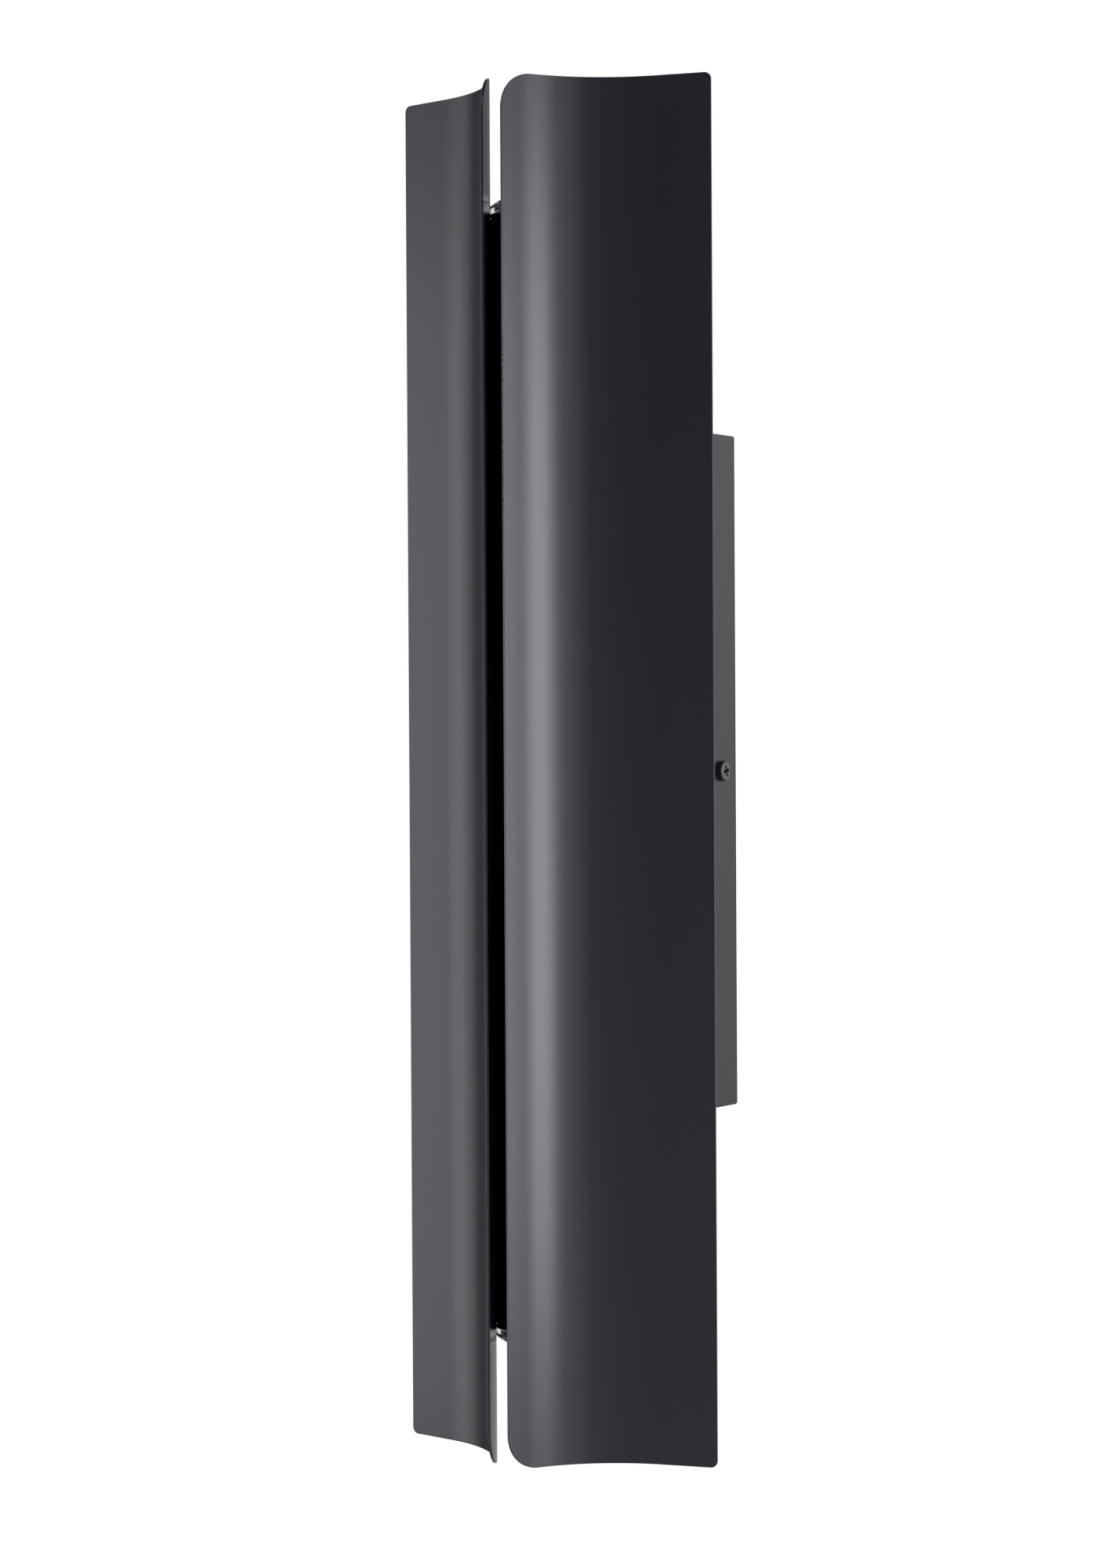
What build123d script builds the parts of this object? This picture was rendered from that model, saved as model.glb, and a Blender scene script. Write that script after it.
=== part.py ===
from build123d import *
import os
from math import cos, radians, sin, sqrt

# Outdoor wall sconce: two bent shades round an up-and-down light column on a wall canopy.
# X runs to the right, Z runs up and -Y leads away from the wall. All sizes are in millimetres.
# The origin is the middle of the wall bracket, on the wall. Every depth is a distance from the wall.

# Clearances, on each side
thread_gap = 0.05
pass_gap = 0.35
bore_gap = 0.1
seat_gap = 0.1
paint_gap = 0.4

# Screw heads: rounding and drive as shares of the head
head_round_share = 0.4
drive_depth_share = 0.55
cross_span_share = 0.55
cross_width_share = 0.15
cross_taper = 12

# Canopy on the wall
canopy_width = 138
canopy_height = 299
canopy_depth = 27
canopy_sheet = 1.2
canopy_corner = 1.6
canopy_front_round = 1.5
wall_gasket_thickness = 1.5
wall_gasket_width = 8
wall_gasket_inset = 0.4

# Bracket on the wall box
wall_bracket_sheet = 2
wall_bracket_height = 50
wall_bracket_flat = 106
wall_bracket_bend = 3
joggle_run = 4
joggle_bend = 5
tab_height = 30
tab_depth = 22
tab_corner = 4
wall_slot_pitch = 79.4
wall_slot_length = 16
wall_slot_width = 4.8
wire_hole = 22
ground_screw_place = (-22, 14)
ground_screw_size = 4
ground_screw_head = 8
ground_screw_head_height = 2.6
ground_screw_slot = 1.2

# Screws in the canopy's sides
canopy_screw_depth = 14.5
canopy_screw_size = 5
canopy_screw_length = 10
canopy_screw_head = 9
canopy_screw_head_height = 2.9
canopy_screw_turn = 14

# Supply parts inside the canopy
stud_size = 3
stud_length = 8
stud_grip = 2
stud_nut_flats = 5.5
stud_nut_height = 2.4
driver_side_gap = 14
driver_end_gap = 6.5
driver_width = 42
driver_height = 96
driver_thickness = 19
driver_ear = 9
driver_ear_width = 16
driver_round = 2.5
driver_lead_hole = 6
terminal_drop = 22
terminal_poles = 3
terminal_pitch = 14
terminal_height = 18
terminal_thickness = 14
terminal_well = 5
terminal_well_depth = 6
terminal_wire_hole = 3.6

# Light column
column_diameter = 42
column_wall = 2.5
column_end_inset = 59
column_edge = 1
column_rib_width = 18
column_rib_depth = 5

# Column fixing: brackets, saddles, screws and the hollow nipple
shade_bracket_sheet = 2
shade_bracket_inset = 49.5
shade_bracket_height = 44
shade_bracket_flat = 64
shade_bracket_bend = 4
saddle_web = 5.6
saddle_width = 26
saddle_height = 40
column_screw_size = 5
column_screw_pitch = 20
column_screw_head = 9.5
column_screw_head_height = 3.4
column_screw_socket = 4
nipple_level = -30
nipple_size = 10
nipple_bore = 7
nipple_end = 2
nipple_nut_flats = 14
nipple_nut_height = 3
bushing_flange = 1.5
bushing_flange_width = 12.5
bushing_sleeve = 6
bushing_bore = 5
spacer_diameter = 22

# Shades
shade_height = 610
shade_sheet = 1.5
shade_bend_radius = 66.5
shade_front_angle = 74.6
shade_back_angle = 12.5
shade_flat = 25.6
shade_front_gap = 8.4
shade_front_corner = 16
shade_back_corner = 3
shade_edge_round = 0.4
shade_stud_size = 4
shade_stud_length = 9
shade_stud_inset = 12.5
shade_stud_pitch = 24
shade_pad_reach = 9
shade_nut_flats = 7
shade_nut_height = 4.4
shade_nut_flange = 9
shade_nut_flange_height = 1

# Lights at the column's ends
lens_gasket_thickness = 0.8
lens_gasket_width = 1.8
lens_rim = 4
lens_dome = 6.8
lens_wall = 2.2
lens_spigot = 3
reflector_height = 18
reflector_throat = 15
reflector_wall = 1
reflector_lip = 1.4
board_diameter = 32
board_thickness = 1.6
board_screw_size = 2.5
board_screw_length = 5
board_screw_head = 4.4
board_screw_head_height = 1.5
board_screw_edge = 0.6
lead_hole = 4
emitter_diameter = 13
emitter_base = 1
emitter_glow_diameter = 10
emitter_glow = 0.5
sink_plate = 6
sink_fin_length = 24
sink_core = 16
sink_fins = 12
sink_fin_thickness = 1.6
grub_size = 3
grub_length = 6
grub_sink = 0.4
grub_socket = 1.5
grub_socket_depth = 1.5
grub_angle = 40

# Places that follow from the sizes
canopy_inside = canopy_depth - canopy_sheet
tab_face = canopy_width / 2 - canopy_sheet - paint_gap
joggle_rise = wall_gasket_thickness + paint_gap
strap_front = canopy_depth + shade_bracket_sheet
column_back = strap_front + saddle_web
column_radius = column_diameter / 2
column_bore = column_radius - column_wall
column_depth = column_back + column_radius
column_end = shade_height / 2 - column_end_inset
column_axis = Axis((0, -column_depth, 0), (0, 0, 1))
column_plane = Plane((0, -column_depth, 0))
column_profile = Plane.XZ.offset(column_depth)
insert_radius = column_bore - bore_gap
shade_bracket_level = canopy_height / 2 - shade_bracket_inset
rib_length = 2 * shade_bracket_level + saddle_height
screw_levels = [
    side * shade_bracket_level + offset * column_screw_pitch / 2 for side in (1, -1) for offset in (1, -1)
]

# Each shade's bend touches the column's flank, so the column sets how far the shades stand out
shade_inner_radius = shade_bend_radius + shade_sheet
front_cos = cos(radians(shade_front_angle))
front_sin = sin(radians(shade_front_angle))
back_cos = cos(radians(shade_back_angle))
back_sin = sin(radians(shade_back_angle))
bend_centre_x = shade_front_gap / 2 + shade_inner_radius * front_sin
bend_reach = shade_inner_radius + column_radius + paint_gap
bend_centre_depth = column_depth + sqrt(bend_reach**2 - bend_centre_x**2)
shade_front_depth = bend_centre_depth - shade_inner_radius * front_cos
shade_front_reach = shade_front_depth + shade_sheet * front_cos
shade_front_plane = Plane(
    (shade_front_gap / 2, -shade_front_depth, 0), (front_cos, front_sin, 0), (front_sin, -front_cos, 0)
)
flat_start_x = bend_centre_x - shade_inner_radius * back_sin
flat_start_depth = bend_centre_depth - shade_inner_radius * back_cos

# Stack of each light, counted up from the column's middle
lens_seat = column_end + lens_gasket_thickness
lens_foot = column_end - lens_spigot
board_top = lens_foot - reflector_height
sink_top = board_top - board_thickness
sink_fin_top = sink_top - sink_plate
board_screw_circle = (board_diameter - board_screw_head) / 2 - board_screw_edge
lead_circle = board_diameter / 2 - lead_hole


def save(builder, name):
    """Label a finished piece and write it to its own file."""
    builder.part.label = name
    export_step(builder.part, f"parts/{name}.step")


def save_pair(upper, name):
    """Write an upper piece and its mirror image at the lower end."""
    with BuildPart() as lower:
        mirror(upper.part, about=Plane.XY)
    save(upper, f"upper_{name}")
    save(lower, f"lower_{name}")


def flat_point(distance):
    """Plan point on the hidden face of the right shade's flat strip."""
    return (flat_start_x + distance * back_cos, -(flat_start_depth - distance * back_sin))


def stud_plane(side, level):
    """Plane on a shade's hidden face at a weld stud, facing away from the sheet."""
    x, y = flat_point(shade_stud_inset)
    return Plane((side * x, y, level), x_dir=(0, 0, 1), z_dir=(-side * back_sin, back_cos, 0))


def grub_plane(side, level):
    """Plane through the column's axis that looks out along a grub screw."""
    turn = radians(grub_angle)
    return Plane((0, -column_depth, level), x_dir=(0, 0, 1), z_dir=(side * sin(turn), cos(turn), 0))


def pan_screw(size, length, head, head_height):
    """Cross-head pan screw that stands on its head's underside, shank down."""
    with BuildPart() as screw:
        with BuildSketch():
            Circle(head / 2)
        extrude(amount=head_height)
        fillet(screw.faces().sort_by(Axis.Z)[-1].edges(), radius=head_height * head_round_share)
        with BuildSketch(Plane.XY.offset(head_height)):
            Rectangle(head * cross_span_share, head * cross_width_share)
            Rectangle(head * cross_width_share, head * cross_span_share)
        extrude(amount=-head_height * drive_depth_share, taper=cross_taper, mode=Mode.SUBTRACT)
        with BuildSketch():
            Circle(size / 2)
        extrude(amount=-length)
    return screw.part


def hex_nut(size, flats, height, flange, flange_height):
    """Hexagon nut on a round flange, bored for its thread, standing on the flange."""
    with BuildPart() as nut:
        with BuildSketch():
            Circle(flange / 2)
        extrude(amount=flange_height)
        with BuildSketch():
            RegularPolygon(flats / 2, 6, major_radius=False)
        extrude(amount=height)
        Hole(size / 2 + thread_gap)
    return nut.part


os.makedirs("parts", exist_ok=True)

# Wall gasket: a foam frame between the canopy's rim and the wall
with BuildPart() as wall_gasket:
    with BuildSketch(Plane.XZ):
        RectangleRounded(
            canopy_width - 2 * wall_gasket_inset, canopy_height - 2 * wall_gasket_inset, canopy_corner
        )
        Rectangle(
            canopy_width - 2 * (wall_gasket_inset + wall_gasket_width),
            canopy_height - 2 * (wall_gasket_inset + wall_gasket_width),
            mode=Mode.SUBTRACT,
        )
    extrude(amount=wall_gasket_thickness)
save(wall_gasket, "wall_gasket")

# Canopy: a deep-drawn box, open to the wall, with clinched studs inside its front
driver_x = canopy_width / 2 - driver_side_gap - driver_width / 2
driver_level = canopy_height / 2 - driver_end_gap - driver_ear - driver_height / 2
driver_stud_rise = (driver_height + driver_ear) / 2
terminal_level = nipple_level - terminal_drop
canopy_studs = [
    (driver_x, driver_level + driver_stud_rise),
    (driver_x, driver_level - driver_stud_rise),
    (terminal_pitch / 2, terminal_level),
    (-terminal_pitch / 2, terminal_level),
]
with BuildPart() as canopy:
    with BuildSketch(Plane.XZ.offset(wall_gasket_thickness)):
        RectangleRounded(canopy_width, canopy_height, canopy_corner)
    extrude(amount=canopy_depth - wall_gasket_thickness)
    fillet(canopy.faces().sort_by(Axis.Y)[0].edges(), radius=canopy_front_round)
    offset(amount=-canopy_sheet, openings=canopy.faces().sort_by(Axis.Y)[-1])
    with BuildSketch(Plane.XZ.offset(canopy_inside)):
        with Locations(*canopy_studs):
            Circle(stud_size / 2)
    extrude(amount=-stud_length)
    with Locations(Plane.XZ.offset(canopy_depth)):
        with Locations(*[(0, level) for level in screw_levels]):
            Hole(column_screw_size / 2 + pass_gap, depth=canopy_sheet)
        with Locations((0, nipple_level)):
            Hole(nipple_size / 2 + pass_gap, depth=canopy_sheet)
    with Locations(Plane.YZ.offset(canopy_width / 2)):
        with Locations((-canopy_screw_depth, 0)):
            Hole(canopy_screw_size / 2 + pass_gap, depth=canopy_width)
save(canopy, "canopy")

# Wall bracket: a bar that lies on the wall box, steps over the gasket and turns up into two tabs
bar_half = wall_bracket_flat / 2
with BuildPart() as wall_bracket:
    with BuildSketch():
        with BuildLine():
            bar_line = FilletPolyline(
                (-tab_face, -tab_depth),
                (-tab_face, -joggle_rise),
                (-bar_half - joggle_run, -joggle_rise),
                (-bar_half, 0),
                (bar_half, 0),
                (bar_half + joggle_run, -joggle_rise),
                (tab_face, -joggle_rise),
                (tab_face, -tab_depth),
                radius=[
                    wall_bracket_bend,
                    joggle_bend,
                    joggle_bend,
                    joggle_bend,
                    joggle_bend,
                    wall_bracket_bend,
                ],
            )
            offset(bar_line, amount=wall_bracket_sheet, side=Side.RIGHT)
        make_face()
    extrude(amount=wall_bracket_height / 2, both=True)
    with BuildSketch(Plane.YZ) as tab_sides:
        with Locations((-tab_depth, 0)):
            Rectangle(2 * (tab_depth - joggle_rise - wall_bracket_bend), wall_bracket_height)
            Rectangle(2 * (tab_depth - joggle_rise - wall_bracket_bend), tab_height, mode=Mode.SUBTRACT)
    extrude(amount=tab_face, both=True, mode=Mode.SUBTRACT)
    fillet(
        wall_bracket.edges().filter_by(Axis.X).group_by(Axis.Y)[0],
        radius=tab_corner,
    )
    with BuildSketch(Plane.XZ):
        with GridLocations(wall_slot_pitch, 0, 2, 1):
            SlotOverall(wall_slot_length, wall_slot_width)
        Circle(wire_hole / 2)
        with Locations(ground_screw_place):
            Circle(ground_screw_size / 2 + thread_gap)
    extrude(amount=wall_bracket_sheet, mode=Mode.SUBTRACT)
    with Locations(Plane.YZ.offset(tab_face)):
        with Locations((-canopy_screw_depth, 0)):
            Hole(canopy_screw_size / 2 + thread_gap, depth=2 * tab_face)
save(wall_bracket, "wall_bracket")

# Ground screw, its shank inside the bar
with BuildPart() as ground_screw:
    with BuildSketch(Plane.XZ.offset(wall_bracket_sheet)):
        with Locations(ground_screw_place):
            Circle(ground_screw_head / 2)
    extrude(amount=ground_screw_head_height)
    chamfer(
        ground_screw.faces().sort_by(Axis.Y)[0].edges(),
        length=ground_screw_head_height * head_round_share,
    )
    with BuildSketch(Plane.XZ.offset(wall_bracket_sheet + ground_screw_head_height)):
        with Locations(ground_screw_place):
            Rectangle(ground_screw_head, ground_screw_slot)
    extrude(amount=-ground_screw_head_height * drive_depth_share, mode=Mode.SUBTRACT)
    with BuildSketch(Plane.XZ.offset(wall_bracket_sheet)):
        with Locations(ground_screw_place):
            Circle(ground_screw_size / 2)
    extrude(amount=-wall_bracket_sheet)
save(ground_screw, "ground_screw")

# Canopy screws, one in each side
canopy_screw = pan_screw(
    canopy_screw_size, canopy_screw_length, canopy_screw_head, canopy_screw_head_height
)
with BuildPart() as canopy_screws:
    for side in (1, -1):
        seat = Plane((side * canopy_width / 2, -canopy_screw_depth, 0), (0, 0, 1), (side, 0, 0))
        with Locations(seat.location * Rotation(0, 0, canopy_screw_turn)):
            add(canopy_screw)
save(canopy_screws, "canopy_screws")

# Driver: a moulded case on two ears
with BuildPart() as led_driver:
    with BuildSketch(Plane.XZ.offset(canopy_inside)):
        with Locations((driver_x, driver_level)):
            Rectangle(driver_width, driver_height)
    extrude(amount=-driver_thickness)
    fillet(led_driver.edges().filter_by(Axis.Y), radius=driver_round)
    fillet(led_driver.faces().sort_by(Axis.Y)[-1].edges(), radius=driver_round)
    with Locations(Plane.XY.offset(driver_level + driver_height / 2)):
        with Locations((driver_x, -canopy_inside + driver_thickness / 2)):
            Hole(driver_lead_hole / 2, depth=driver_height)
    with BuildSketch(Plane.XZ.offset(canopy_inside)):
        with Locations(*canopy_studs[:2]):
            Rectangle(driver_ear_width, driver_ear)
            Circle(stud_size / 2 + pass_gap, mode=Mode.SUBTRACT)
    extrude(amount=-stud_grip)
save(led_driver, "led_driver")

# Terminal block: three poles, each with a screw well and a wire way
terminal_top = canopy_inside - terminal_thickness
with BuildPart() as terminal_block:
    with BuildSketch(Plane.XZ.offset(canopy_inside)):
        with Locations((0, terminal_level)):
            RectangleRounded(terminal_poles * terminal_pitch, terminal_height, driver_round)
    extrude(amount=-terminal_thickness)
    with BuildSketch(Plane.XZ.offset(terminal_top)):
        with Locations((0, terminal_level)):
            with GridLocations(terminal_pitch, 0, terminal_poles, 1):
                Circle(terminal_well / 2)
    extrude(amount=terminal_well_depth, mode=Mode.SUBTRACT)
    with BuildSketch(Plane.XZ.offset(terminal_top)):
        with Locations(*canopy_studs[2:]):
            Circle(stud_nut_flats / sqrt(3) + pass_gap)
    extrude(amount=terminal_thickness - stud_grip, mode=Mode.SUBTRACT)
    with BuildSketch(Plane.XZ.offset(canopy_inside)):
        with Locations(*canopy_studs[2:]):
            Circle(stud_size / 2 + pass_gap)
    extrude(amount=-stud_grip, mode=Mode.SUBTRACT)
    with BuildSketch(Plane.XY.offset(terminal_level)):
        with Locations((0, -(terminal_top + terminal_well_depth))):
            with GridLocations(terminal_pitch, 0, terminal_poles, 1):
                Circle(terminal_wire_hole / 2)
    extrude(amount=terminal_height / 2, both=True, mode=Mode.SUBTRACT)
save(terminal_block, "terminal_block")

# Nuts on the canopy's studs
stud_nut = hex_nut(stud_size, stud_nut_flats, stud_nut_height, stud_nut_flats, stud_nut_height / 4)
with BuildPart() as canopy_nuts:
    with Locations(Plane.XZ.offset(canopy_inside - stud_grip)):
        with Locations(*[Location((x, z, 0), (180, 0, 0)) for x, z in canopy_studs]):
            add(stud_nut)
save(canopy_nuts, "canopy_nuts")

# Light column: a drawn tube, thick at the back where screws and nipple are tapped into it
with BuildPart() as light_column:
    with BuildSketch(column_plane):
        Circle(column_radius)
        Circle(column_bore, mode=Mode.SUBTRACT)
    extrude(amount=column_end, both=True)
    column_ends = light_column.faces().filter_by(Axis.Z)
    chamfer([edge for end in column_ends for edge in end.outer_wire().edges()], length=column_edge)
    with BuildSketch(column_plane):
        Circle(column_radius - column_wall / 2)
        with Locations((0, column_bore - column_rib_depth)):
            Rectangle(
                column_rib_width,
                column_rib_depth + column_wall,
                align=(Align.CENTER, Align.MIN),
                mode=Mode.INTERSECT,
            )
    extrude(amount=rib_length / 2, both=True)
    with BuildSketch(column_profile):
        with Locations(*[(0, level) for level in screw_levels]):
            Circle(column_screw_size / 2 + thread_gap)
        with Locations((0, nipple_level)):
            Circle(nipple_size / 2 + thread_gap)
    extrude(amount=-column_radius, mode=Mode.SUBTRACT)
    for level in (sink_top - sink_plate / 2, -sink_top + sink_plate / 2):
        for side in (1, -1):
            with Locations(grub_plane(side, level).offset(column_radius)):
                Hole(grub_size / 2 + thread_gap, depth=column_wall + bore_gap)
save(light_column, "light_column")

# Shade brackets: bent straps behind the column whose ends lie flat against the shades
pad_start = flat_point(shade_stud_inset - shade_pad_reach)
pad_end = flat_point(shade_stud_inset + shade_pad_reach)
strap_half = shade_bracket_flat / 2
with BuildPart() as shade_bracket:
    with BuildSketch(Plane.XY.offset(shade_bracket_level)):
        with BuildLine():
            strap_line = FilletPolyline(
                (-pad_end[0], pad_end[1]),
                (-pad_start[0], pad_start[1]),
                (-strap_half, -strap_front),
                (strap_half, -strap_front),
                pad_start,
                pad_end,
                radius=shade_bracket_bend,
            )
            offset(strap_line, amount=shade_bracket_sheet, side=Side.LEFT)
        make_face()
    extrude(amount=shade_bracket_height / 2, both=True)
    with Locations(Plane.XZ.offset(strap_front)):
        with Locations(*[(0, level) for level in screw_levels[:2]]):
            Hole(column_screw_size / 2 + pass_gap, depth=shade_bracket_sheet)
    for side in (1, -1):
        for offset_sign in (1, -1):
            level = shade_bracket_level + offset_sign * shade_stud_pitch / 2
            with Locations(stud_plane(side, level)):
                Hole(shade_stud_size / 2 + pass_gap, depth=shade_bracket_sheet)
save_pair(shade_bracket, "shade_bracket")

# Saddles: cradles that hold the round column on the flat straps
saddle_rise = column_radius - sqrt(column_radius**2 - saddle_width**2 / 4)
with BuildPart() as saddle:
    with BuildSketch(Plane.XY.offset(shade_bracket_level)):
        with Locations((0, -strap_front)):
            Rectangle(saddle_width, saddle_web + saddle_rise, align=(Align.CENTER, Align.MAX))
        with Locations((0, -column_depth)):
            Circle(column_radius + seat_gap, mode=Mode.SUBTRACT)
    extrude(amount=saddle_height / 2, both=True)
    with Locations(Plane.XZ.offset(column_depth)):
        with Locations(*[(0, level) for level in screw_levels[:2]]):
            Hole(column_screw_size / 2 + pass_gap, depth=column_radius + saddle_web)
save_pair(saddle, "saddle")

# Column screws, put in from inside the canopy
column_screw_length = canopy_sheet + shade_bracket_sheet + saddle_web + column_wall + column_rib_depth
with BuildPart() as column_screw:
    with BuildSketch():
        Circle(column_screw_head / 2)
    extrude(amount=column_screw_head_height)
    chamfer(
        column_screw.faces().sort_by(Axis.Z)[-1].edges(),
        length=column_screw_head_height * head_round_share,
    )
    with BuildSketch(Plane.XY.offset(column_screw_head_height)):
        RegularPolygon(column_screw_socket / 2, 6, major_radius=False)
    extrude(amount=-column_screw_head_height * drive_depth_share, mode=Mode.SUBTRACT)
    with BuildSketch():
        Circle(column_screw_size / 2)
    extrude(amount=-column_screw_length)
with BuildPart() as column_screws:
    with Locations(Plane((0, -canopy_inside, 0), x_dir=(1, 0, 0), z_dir=(0, 1, 0))):
        with Locations(*[(0, level) for level in screw_levels]):
            add(column_screw.part)
save(column_screws, "column_screws")

# Spacer round the nipple, hollowed to the column
with BuildPart() as centre_spacer:
    with BuildSketch(Plane.XZ.offset(canopy_depth)):
        with Locations((0, nipple_level)):
            Circle(spacer_diameter / 2)
            Circle(nipple_size / 2 + pass_gap, mode=Mode.SUBTRACT)
    extrude(amount=column_radius)
    with Locations((0, -column_depth, nipple_level)):
        Cylinder(column_radius + seat_gap, spacer_diameter, mode=Mode.SUBTRACT)
    split(bisect_by=Plane.XZ.offset(column_depth - column_radius / 2), keep=Keep.BOTTOM)
save(centre_spacer, "centre_spacer")

# Nipple: hollow threaded pipe from the canopy into the column
nipple_start = canopy_inside - nipple_nut_height - nipple_end
nipple_stop = column_back + column_wall + column_rib_depth
nipple_plane = Plane((0, -nipple_start, nipple_level), (1, 0, 0), (0, -1, 0))
with BuildPart() as wire_nipple:
    with BuildSketch(nipple_plane):
        Circle(nipple_size / 2)
        Circle(nipple_bore / 2, mode=Mode.SUBTRACT)
    extrude(amount=nipple_stop - nipple_start)
save(wire_nipple, "wire_nipple")

nipple_hex = hex_nut(
    nipple_size, nipple_nut_flats, nipple_nut_height, nipple_nut_flats, nipple_nut_height / 4
)
with BuildPart() as nipple_nut:
    with Locations(Plane((0, -canopy_inside, nipple_level), (1, 0, 0), (0, 1, 0))):
        add(nipple_hex)
save(nipple_nut, "nipple_nut")

with BuildPart() as nipple_bushing:
    with BuildSketch(nipple_plane):
        Circle(bushing_flange_width / 2)
    extrude(amount=-bushing_flange)
    chamfer(nipple_bushing.faces().sort_by(Axis.Y)[-1].edges(), length=bushing_flange / 2)
    with BuildSketch(nipple_plane):
        Circle(nipple_bore / 2 - thread_gap)
    extrude(amount=bushing_sleeve)
    with Locations(nipple_plane):
        Hole(bushing_bore / 2)
save(nipple_bushing, "nipple_bushing")

# Shades: a flat rear strip that runs into one large bend, ending almost square to the wall
with BuildPart() as shade_right:
    with BuildSketch():
        with BuildLine():
            bend_turn = shade_back_angle - shade_front_angle
            inner_front = (shade_front_gap / 2, -shade_front_depth)
            outer_front = (
                shade_front_gap / 2 + shade_sheet * front_sin,
                -shade_front_reach,
            )
            inner_bend = JernArc(inner_front, (front_cos, front_sin), shade_inner_radius, bend_turn)
            inner_flat = PolarLine(inner_bend @ 1, shade_flat, shade_back_angle)
            outer_bend = JernArc(outer_front, (front_cos, front_sin), shade_bend_radius, bend_turn)
            outer_flat = PolarLine(outer_bend @ 1, shade_flat, shade_back_angle)
            Line(inner_bend @ 0, outer_bend @ 0)
            Line(inner_flat @ 1, outer_flat @ 1)
        make_face()
    extrude(amount=shade_height / 2, both=True)
    corner_edges = shade_right.edges().filter_by(lambda edge: abs(edge.length - shade_sheet) < 0.01)
    fillet(corner_edges.group_by(Axis.X)[-1], radius=shade_back_corner)
    with BuildSketch(shade_front_plane) as side_outline:
        Rectangle(shade_front_reach, shade_height, align=(Align.MIN, Align.CENTER))
        fillet(side_outline.vertices().group_by(Axis.X)[0], radius=shade_front_corner)
    extrude(amount=shade_front_reach, both=True, mode=Mode.INTERSECT)
    upright_edges = shade_right.edges().filter_by(lambda edge: edge.length > shade_height / 2)
    fillet(upright_edges.sort_by(Axis.X)[:2], radius=shade_edge_round)
save(shade_right, "shade_right")

with BuildPart() as shade_left:
    mirror(shade_right.part, about=Plane.YZ)
save(shade_left, "shade_left")

# Weld studs on the shades, and the flange nuts that pull them against the brackets
stud_planes = [
    stud_plane(side, end * shade_bracket_level + step * shade_stud_pitch / 2)
    for side in (1, -1)
    for end in (1, -1)
    for step in (1, -1)
]
with BuildPart() as shade_studs:
    for place in stud_planes:
        with BuildSketch(place):
            Circle(shade_stud_size / 2)
        extrude(amount=shade_stud_length)
save(shade_studs, "shade_studs")

shade_nut = hex_nut(
    shade_stud_size, shade_nut_flats, shade_nut_height, shade_nut_flange, shade_nut_flange_height
)
with BuildPart() as shade_nuts:
    with Locations(*[place.offset(shade_bracket_sheet) for place in stud_planes]):
        add(shade_nut)
save(shade_nuts, "shade_nuts")

# Heat sinks: plugs with a thick plate under the board and radial fins below it
with BuildPart() as heat_sink:
    with BuildSketch(column_plane.offset(sink_fin_top)):
        Circle(insert_radius)
    extrude(amount=sink_plate)
    with BuildSketch(column_plane.offset(sink_fin_top)):
        Circle(sink_core / 2)
        with PolarLocations(insert_radius / 2, sink_fins, start_angle=180 / sink_fins):
            Rectangle(insert_radius, sink_fin_thickness)
        Circle(insert_radius - bore_gap, mode=Mode.INTERSECT)
    extrude(amount=-sink_fin_length)
    with Locations(column_plane.offset(sink_top)):
        with Locations((board_screw_circle, 0), (-board_screw_circle, 0)):
            Hole(board_screw_size / 2 + thread_gap, depth=board_screw_length)
        with Locations((0, lead_circle)):
            Hole(lead_hole / 2, depth=sink_plate)
    for side in (1, -1):
        with Locations(grub_plane(side, sink_top - sink_plate / 2).offset(insert_radius)):
            Hole(grub_size / 2 + thread_gap, depth=grub_length + grub_sink - column_wall)
save_pair(heat_sink, "heat_sink")

# Grub screws through the column's wall into the heat sinks
with BuildPart() as grub_screw:
    with BuildSketch():
        Circle(grub_size / 2)
    extrude(amount=-grub_length)
    with BuildSketch():
        RegularPolygon(grub_socket / 2, 6, major_radius=False)
    extrude(amount=-grub_socket_depth, mode=Mode.SUBTRACT)
with BuildPart() as heat_sink_screws:
    for level in (sink_top - sink_plate / 2, -sink_top + sink_plate / 2):
        for side in (1, -1):
            with Locations(grub_plane(side, level).offset(column_radius - grub_sink)):
                add(grub_screw.part)
save(heat_sink_screws, "heat_sink_screws")

# Boards with their emitters and screws
with BuildPart() as led_board:
    with BuildSketch(column_plane.offset(sink_top)):
        Circle(board_diameter / 2)
        with Locations((board_screw_circle, 0), (-board_screw_circle, 0)):
            Circle(board_screw_size / 2 + pass_gap, mode=Mode.SUBTRACT)
        with Locations((0, lead_circle)):
            Circle(lead_hole / 2, mode=Mode.SUBTRACT)
    extrude(amount=board_thickness)
save_pair(led_board, "led_board")

with BuildPart() as led_emitter:
    with BuildSketch(column_plane.offset(board_top)):
        Circle(emitter_diameter / 2)
    extrude(amount=emitter_base)
    with BuildSketch(column_plane.offset(board_top + emitter_base)):
        Circle(emitter_glow_diameter / 2)
    extrude(amount=emitter_glow)
save_pair(led_emitter, "led_emitter")

board_screw = pan_screw(board_screw_size, board_screw_length, board_screw_head, board_screw_head_height)
with BuildPart() as led_board_screws:
    with Locations(column_plane.offset(board_top)):
        with Locations((board_screw_circle, 0), (-board_screw_circle, 0)):
            add(board_screw)
    mirror(about=Plane.XY)
save(led_board_screws, "led_board_screws")

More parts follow.
